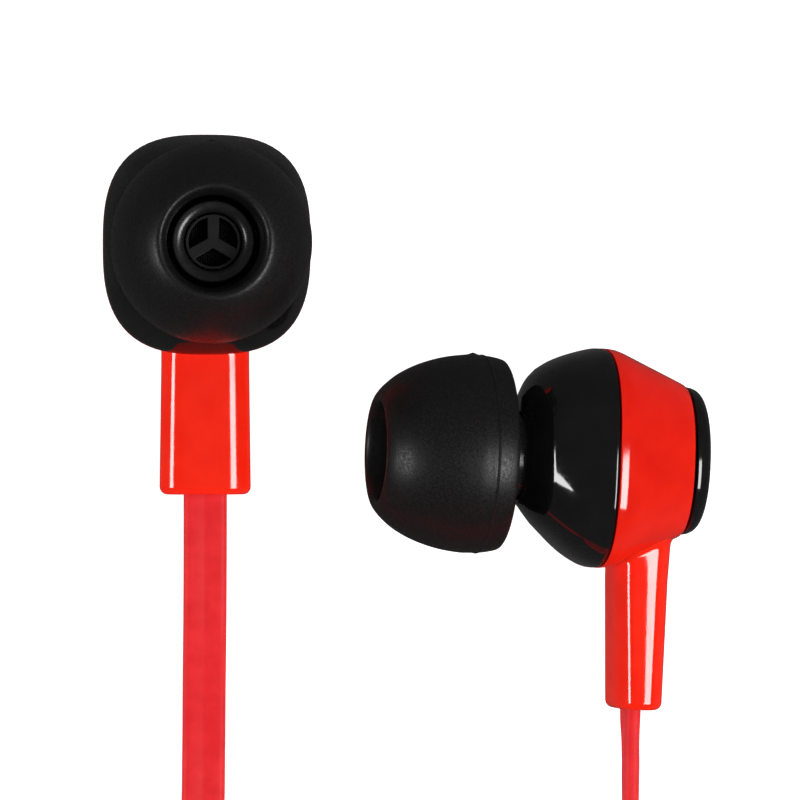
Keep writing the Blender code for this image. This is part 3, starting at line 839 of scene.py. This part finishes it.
def make_front_shell(side, place):
    """The black dome, its wall and the lip behind its seam."""
    rings = plain_rings(FRONT_EDGE) + section_rings(FRONT_OUTSIDE)
    rings += section_rings(FRONT_CONE) + plain_rings(FRONT_NECK)
    rings += section_rings(FRONT_OUTSIDE[:0:-1], pieces=1, wall=FRONT_WALL)
    for height, wall in (
        (FRONT_SEAM, LIP_WALL),
        (LIP_LOW, LIP_WALL),
        (LIP_LOW, 0.0),
        (LIP_HIGH, 0.0),
    ):
        size = (LIP_HALF_HEIGHT - wall, LIP_HALF_WIDTH - wall)
        rings.append(rounded_square(height, *size, LIP_SQUARENESS))
    name = f"{side}_black_shell"
    shell = loft(name, rings, "gloss_black", place, closed=True, sharp=math.radians(30))
    stands_for(shell, [f"{side}_front_shell"])


def make_rear_cap(side, place):
    """A gently domed gloss disc, with a shallow round recess in its flat middle."""
    rings = plain_rings(CAP_RECESS) + section_rings(CAP_DOME) + plain_rings(CAP_SPIGOT)
    cap = loft(f"{side}_back_disc", rings, "gloss_black", place)
    stands_for(cap, [f"{side}_rear_cap"])


def shell_bottom(across, height):
    """How far below the axis the red shell's outside lies, at a place across and along it."""
    _, half_height, half_width, squareness, _ = section_at(REAR_OUTSIDE, height)
    rest = 1 - (abs(across) / half_width) ** squareness
    return half_height * rest ** (1 / squareness)


def stem_ring(y, low, high, half_width, corner, follow_shell=False, stretch=1.0):
    """One section of the stem, with bulging sides, at a level y.

    When it follows the shell, y is measured from the red shell's underside. A stretch above 1 makes
    the corners wider across the stem than they are along the bud's axis.
    """
    middle, half = (low + high) / 2, (high - low) / 2
    ring = []
    for x, along in rounded_rectangle(half_width / stretch, half, corner):
        x *= stretch * (1 - STEM_BULGE * (along / half) ** 2)
        height = middle + along
        at = y - shell_bottom(x, height) if follow_shell else y
        ring.append(Vector((x, at, height)))
    return ring


def stem_fillet():
    """Rings that widen towards the red shell's underside, which they follow."""
    low, high, half_width = STEM_TOP
    rings = []
    for offset, flare in ((STEM_OVERLAP, 0.2), (-0.08, 0.1), (-0.22, 0.03), (-0.45, 0.0)):
        section = (low - flare, high + flare / 2, half_width + flare, STEM_CORNER + flare)
        rings.append(stem_ring(offset, *section, follow_shell=True, stretch=STEM_CORNER_STRETCH))
    return rings


def stem_sides():
    """Rings down the stem's length, as its section changes from the top's to the bottom's."""
    low, high, half_width = STEM_TOP
    top = (low + 0.1, high, half_width)
    bottom, steps = STEM_END + STEM_END_ROUND, 8
    rings = []
    for i in range(steps + 1):
        share = i / steps
        y = STEM_STRAIGHT + (bottom - STEM_STRAIGHT) * share
        section = [a + (b - a) * share for a, b in zip(top, STEM_BOTTOM)]
        rings.append(stem_ring(y, *section, STEM_CORNER, stretch=STEM_CORNER_STRETCH))
    return rings


def stem_end_round():
    """Rings round the edge of the stem's lower end."""
    low, high, half_width = STEM_BOTTOM
    steps = 6
    rings = []
    for i in range(1, steps + 1):
        angle = math.pi / 2 * i / steps
        y = STEM_END + STEM_END_ROUND * (1 - math.sin(angle))
        step = STEM_END_ROUND * (1 - math.cos(angle))
        section = (low + step, high - step, half_width - step, STEM_CORNER - step * 0.6)
        rings.append(stem_ring(y, *section, stretch=STEM_CORNER_STRETCH))
    return rings


def make_stem(side, place):
    """The strain relief: its top follows the shell with a small fillet, and the cord leaves its end."""
    half_thickness = CORD_THICKNESS / 2 + CORD_HOLE_GAP
    half_width = CORD_WIDTH / 2 + CORD_HOLE_GAP
    hole = (CORD_AXIS - half_thickness, CORD_AXIS + half_thickness, half_width, CORD_HOLE_CORNER)
    rings = stem_fillet() + stem_sides() + stem_end_round()
    rings.append(stem_ring(STEM_END, *hole))
    rings.append(stem_ring(STEM_OVERLAP, *hole, follow_shell=True))
    stem = loft(f"{side}_strain_relief", rings, "red_stem", place, closed=True)
    stands_for(stem, [f"{side}_stem"])


def make_ear_tip(side, place):
    """A soft dome with a fine moulding line round its skirt and a small flash nub."""
    inside = [(2.9, 19.5), (2.88, 17.6), (2.9, 13.1)]
    core = [
        (3.1, 12.9),
        (3.4, 12.9),
        (3.55, 13.1),
        (3.62, 15.6),
        (3.66, 17.1),
        (3.95, 17.95),
        (4.5, 17.65),
        (5.2, 16.45),
        (5.56, 15.0),
        (5.66, 13.3),
        (5.78, 13.0),
    ]
    skirt = [
        (5.88, 12.96),
        (6.0, 13.07),
        (6.1, 13.38),
        (6.19, 13.85),
        (6.232, 14.2),
    ]
    line = [(6.234, 14.25), (6.287, 14.31), (6.287, 14.37), (6.24, 14.43)]
    dome = [
        (6.25, 14.55),
        (6.24, 15.5),
        (6.02, 16.9),
        (5.56, 18.35),
        (4.96, 19.52),
        (4.32, 20.33),
        (3.85, 20.76),
        (3.52, 20.94),
        (3.28, 20.9),
        (3.1, 20.66),
        (2.96, 20.1),
    ]
    profile = smooth_profile(inside, core, skirt) + line
    profile += smooth_profile(dome, pieces=7)
    tip = lathe(f"{side}_silicone_tip", profile, "silicone", place, segments=128)
    add_nub(tip, height=14.9, radius=6.25, size=0.3, rise=0.14)
    stands_for(tip, [f"{side}_ear_tip"], f"{side}_tip")


def add_nub(tip, height, radius, size, rise):
    """Pushes a small round bump out of the tip's skirt, on the side away from the stem."""
    centre = Vector((0, radius, height)) * MM
    for v in tip.data.vertices:
        away = (v.co - centre).length / (size * MM)
        if away < 2:
            v.co.y += rise * MM * math.exp(-1.5 * away**2)


def make_nozzle(side, place):
    """The sound tube, with a flange in the shell, a low barb under the tip and a round mouth."""
    outer, inner, flange, flange_top = 2.6, 1.8, 3.3, NOZZLE_BASE + 0.65
    barb, end = outer + 0.11, NOZZLE_END
    profile = smooth_profile(
        [(inner, NOZZLE_BASE), (flange, NOZZLE_BASE), (flange, flange_top), (outer, flange_top)],
        [(outer, end - 2.3), (outer + 0.04, end - 2.05), (barb, end - 1.8)],
        [(barb, end - 1.2), (outer + 0.02, end - 0.6), (outer - 0.04, end - 0.3)],
        [(outer - 0.05, end - 0.2), (outer - 0.09, end - 0.05), (outer - 0.16, end)],
        [
            (inner + 0.62, end),
            (inner + 0.4, end - 0.03),
            (inner + 0.2, end - 0.11),
            (inner + 0.06, end - 0.23),
            (inner, end - 0.38),
        ],
        pieces=4,
    )
    nozzle = lathe(f"{side}_sound_tube", profile, "satin_black", place)
    stands_for(nozzle, [f"{side}_nozzle"])


def circle_arc(radius, start, turn, steps):
    """Points on a circle about the origin, from one angle through a turn in radians."""
    angles = [start + turn * i / steps for i in range(steps + 1)]
    return [(radius * math.cos(angle), radius * math.sin(angle)) for angle in angles]


def spoked_outlines(radius, rim, spoke_width, spokes=3):
    """A disc's outline and one hole between each pair of spokes. The first spoke points up."""
    outlines = [circle_arc(radius, 0, math.tau, 72)[:-1]]
    inner, half = radius - rim, spoke_width / 2
    lean = math.asin(half / inner)
    gap = math.tau / spokes
    corner = half / math.sin(gap / 2)
    for i in range(spokes):
        start = math.pi / 2 + i * gap
        middle = start + gap / 2
        hole = [(corner * math.cos(middle), corner * math.sin(middle))]
        hole += circle_arc(inner, start + lean, gap - 2 * lean, 20)
        outlines.append(hole)
    return outlines


def make_grille(side, place):
    """The three-spoked grille at the nozzle's mouth, with softened edges."""
    thickness, edge = 0.6, 0.05
    curve = bpy.data.curves.new(f"{side}_spoked_grille", "CURVE")
    curve.dimensions = "2D"
    curve.fill_mode = "BOTH"
    curve.extrude = (thickness / 2 - edge) * MM
    curve.bevel_depth = edge * MM
    curve.bevel_resolution = 2
    curve.offset = -edge * MM
    for outline in spoked_outlines(GRILLE_RADIUS, GRILLE_RIM, SPOKE_WIDTH):
        spline = curve.splines.new("POLY")
        spline.points.add(len(outline) - 1)
        for point, (x, y) in zip(spline.points, outline):
            point.co = (x * MM, y * MM, 0.0, 1.0)
        spline.use_cyclic_u = True
    grille = bpy.data.objects.new(f"{side}_spoked_grille", curve)
    bpy.context.scene.collection.objects.link(grille)
    height = NOZZLE_END - 0.3 - thickness / 2
    grille.matrix_world = place @ Matrix.Translation((0, 0, height * MM))
    grille.data.materials.append(MATERIALS["matte_black"])
    stands_for(grille, [f"{side}_grille"])


INSIDE_FINISHES = {
    "nozzle_mesh": "mesh",
    "cord_stop": "black_rubber",
    "driver_frame": "frame_plastic",
    "yoke": "steel",
    "magnet": "nickel",
    "top_plate": "steel",
    "voice_coil": "copper",
    "diaphragm": "film",
    "foam_gasket": "foam",
}


def make_bud(side):
    place = bud_place(side)
    make_rear_shell(side, place)
    make_front_shell(side, place)
    make_rear_cap(side, place)
    make_stem(side, place)
    make_ear_tip(side, place)
    make_nozzle(side, place)
    make_grille(side, place)
    for piece, material in INSIDE_FINISHES.items():
        finish_cad(f"{side}_{piece}", material)


# ---- tie and plug ----

# The tie's place on the coil, and the rounded rectangle that it is wound round.
TIE_ANGLE = math.radians(340)
TIE_DISTANCE = 16.4
TIE_HEIGHT = 3.7
TIE_HALF_LENGTH = 5.4
TIE_HALF_HEIGHT = 3.4
TIE_WIDTH = 3.0
TIE_THICKNESS = 0.6
TIE_EDGE = 0.12

# Outlines of the plug: radius, and distance from the end where the cord goes in.
RIDGE_COUNT = 6
RIDGE_PITCH = 1.4
RIDGE_GROWTH = 0.09
GRIP_RADIUS = 3.4
GRIP_END = 23.4
GRIP_GROOVES = 7
GRIP_GROOVE_PITCH = 1.1
CONTACT_RADIUS = 1.75
CONTACT_EDGE = 0.05
CONTACTS_LENGTH = 14.1


def make_tie():
    """A woven strap round the coil, in the CAD tie's place, with softened edges."""
    half = TIE_WIDTH / 2
    edges = [(-half, TIE_EDGE), (-half + TIE_EDGE, 0.0), (half - TIE_EDGE, 0.0), (half, TIE_EDGE)]
    rings = []
    for outwards, corner, steps in ((1, 1.2, edges), (-1, 0.7, edges[::-1])):
        for across, step in steps:
            offset = outwards * (TIE_THICKNESS / 2 - step)
            outline = rounded_rectangle(TIE_HALF_LENGTH + offset, TIE_HALF_HEIGHT + offset, corner)
            rings.append([Vector((x + TIE_DISTANCE, across, z + TIE_HEIGHT)) for x, z in outline])
    place = Matrix.Translation(COIL_CENTRE * MM) @ Matrix.Rotation(TIE_ANGLE, 4, "Z")
    strap = loft("coil_strap", rings, "tie", place, closed=True)
    stands_for(strap, ["coil_tie"])


def relief_outline():
    """The ridged strain relief, a tube that widens towards the grip."""
    outline = [(1.6, 0.0), (2.0, 0.0)]
    for i in range(RIDGE_COUNT):
        base, growth = 0.25 + i * RIDGE_PITCH, i * RIDGE_GROWTH
        outline += [
            (2.12 + growth, base),
            (2.2 + growth, base + 0.1),
            (2.22 + growth, base + 0.85),
            (2.14 + growth, base + 0.95),
            (2.02 + growth, base + 1.0),
            (2.04 + growth, base + 1.3),
        ]
    return outline + [(2.78, 8.75), (2.78, 9.0), (1.6, 9.0)]


def grip_outline():
    """The grip, with round ends and a row of grooves."""
    outline = [(0, 9.3), (2.7, 9.3), (2.95, 9.34), (3.2, 9.5), (3.36, 9.75), (GRIP_RADIUS, 10.1)]
    for i in range(GRIP_GROOVES):
        base = 12.0 + i * GRIP_GROOVE_PITCH
        outline += [
            (GRIP_RADIUS, base),
            (3.28, base + 0.12),
            (3.28, base + 0.33),
            (GRIP_RADIUS, base + 0.45),
        ]
    return outline + [
        (GRIP_RADIUS, GRIP_END - 0.9),
        (3.33, GRIP_END - 0.45),
        (3.1, GRIP_END - 0.12),
        (2.8, GRIP_END),
        (0, GRIP_END),
    ]


def sleeve_outline(face):
    """The sleeve contact, with a wider collar against the grip."""
    return [
        (0, face),
        (2.35, face),
        (2.45, face + 0.1),
        (2.45, face + 0.7),
        (2.35, face + 0.8),
        (CONTACT_RADIUS, face + 0.82),
        (CONTACT_RADIUS, face + 7.25),
        (CONTACT_RADIUS - CONTACT_EDGE, face + 7.3),
        (0, face + 7.3),
    ]


def insulator_outline(base, top):
    radius = CONTACT_RADIUS - 0.02
    return [(0, base), (radius, base), (radius, top), (0, top)]


def ring_outline(base, top):
    return [
        (0, base),
        (CONTACT_RADIUS - CONTACT_EDGE, base),
        (CONTACT_RADIUS, base + CONTACT_EDGE),
        (CONTACT_RADIUS, top - CONTACT_EDGE),
        (CONTACT_RADIUS - CONTACT_EDGE, top),
        (0, top),
    ]


def tip_outline(face):
    """The tip contact, with the waist that a socket's spring holds."""
    return smooth_profile(
        [(0, face + 11.0), (CONTACT_RADIUS - CONTACT_EDGE, face + 11.0)],
        [
            (CONTACT_RADIUS, face + 11.05),
            (CONTACT_RADIUS, face + 11.25),
            (1.5, face + 11.55),
            (1.3, face + 11.9),
            (1.42, face + 12.25),
            (1.6, face + 12.55),
            (1.56, face + 12.95),
            (1.2, face + 13.5),
            (0.72, face + 13.92),
            (0.3, face + 14.08),
        ],
        [(0, face + CONTACTS_LENGTH)],
    )


def make_plug():
    """The plug's seven pieces, turned about the plug's axis, which lies along the table's +X."""
    low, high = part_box("plug_relief")
    start = Vector((low.x, (low.y + high.y) / 2, (low.z + high.z) / 2))
    place = Matrix.Translation(start) @ Matrix.Rotation(math.pi / 2, 4, "Y")
    face = (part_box("plug_tip")[1].x - start.x) / MM - CONTACTS_LENGTH
    lower = insulator_outline(face + 7.45, face + 7.95)
    ring = ring_outline(face + 8.1, face + 10.2)
    upper = insulator_outline(face + 10.35, face + 10.85)
    for name, profile, material, node in (
        ("plug_strain_relief", relief_outline(), "black_rubber", "plug_relief"),
        ("plug_grip", grip_outline(), "gloss_black", "plug_body"),
        ("plug_sleeve_contact", sleeve_outline(face), "gold_contact", "plug_sleeve"),
        ("plug_ring_contact", ring, "gold_contact", "plug_ring"),
        ("plug_tip_contact", tip_outline(face), "gold_contact", "plug_tip"),
        ("plug_lower_insulator", lower, "black_rubber", "plug_insulator_1"),
        ("plug_upper_insulator", upper, "black_rubber", "plug_insulator_2"),
    ):
        piece = lathe(name, profile, material, place, segments=72)
        stands_for(piece, [node])


# ---- floor and scene ----


def make_floor():
    """A pale studio sweep: a round floor that curves up at its rim, so that no horizon shows."""
    flat, bend, thickness, steps = 2000, 500, 10, 12
    # The ring at three quarters keeps the curve's shading off the middle of the floor.
    profile = [(0, 0), (flat * 0.75, 0)]
    for i in range(steps + 1):
        angle = math.pi / 2 * i / steps
        profile.append((flat + bend * math.sin(angle), bend * (1 - math.cos(angle))))
    outside = flat + bend + thickness
    profile += [(outside, bend), (outside, -thickness), (0, -thickness)]
    floor = lathe("floor", profile, "pale_floor", Matrix.Identity(4))
    floor.visible_glossy = False


make_camera()
make_lights()
make_floor()
make_plug()
make_tie()
for half in ("y_split_lower", "y_split_upper"):
    finish_cad(half, "gloss_black")
make_cords()
make_bud("left")
make_bud("right")
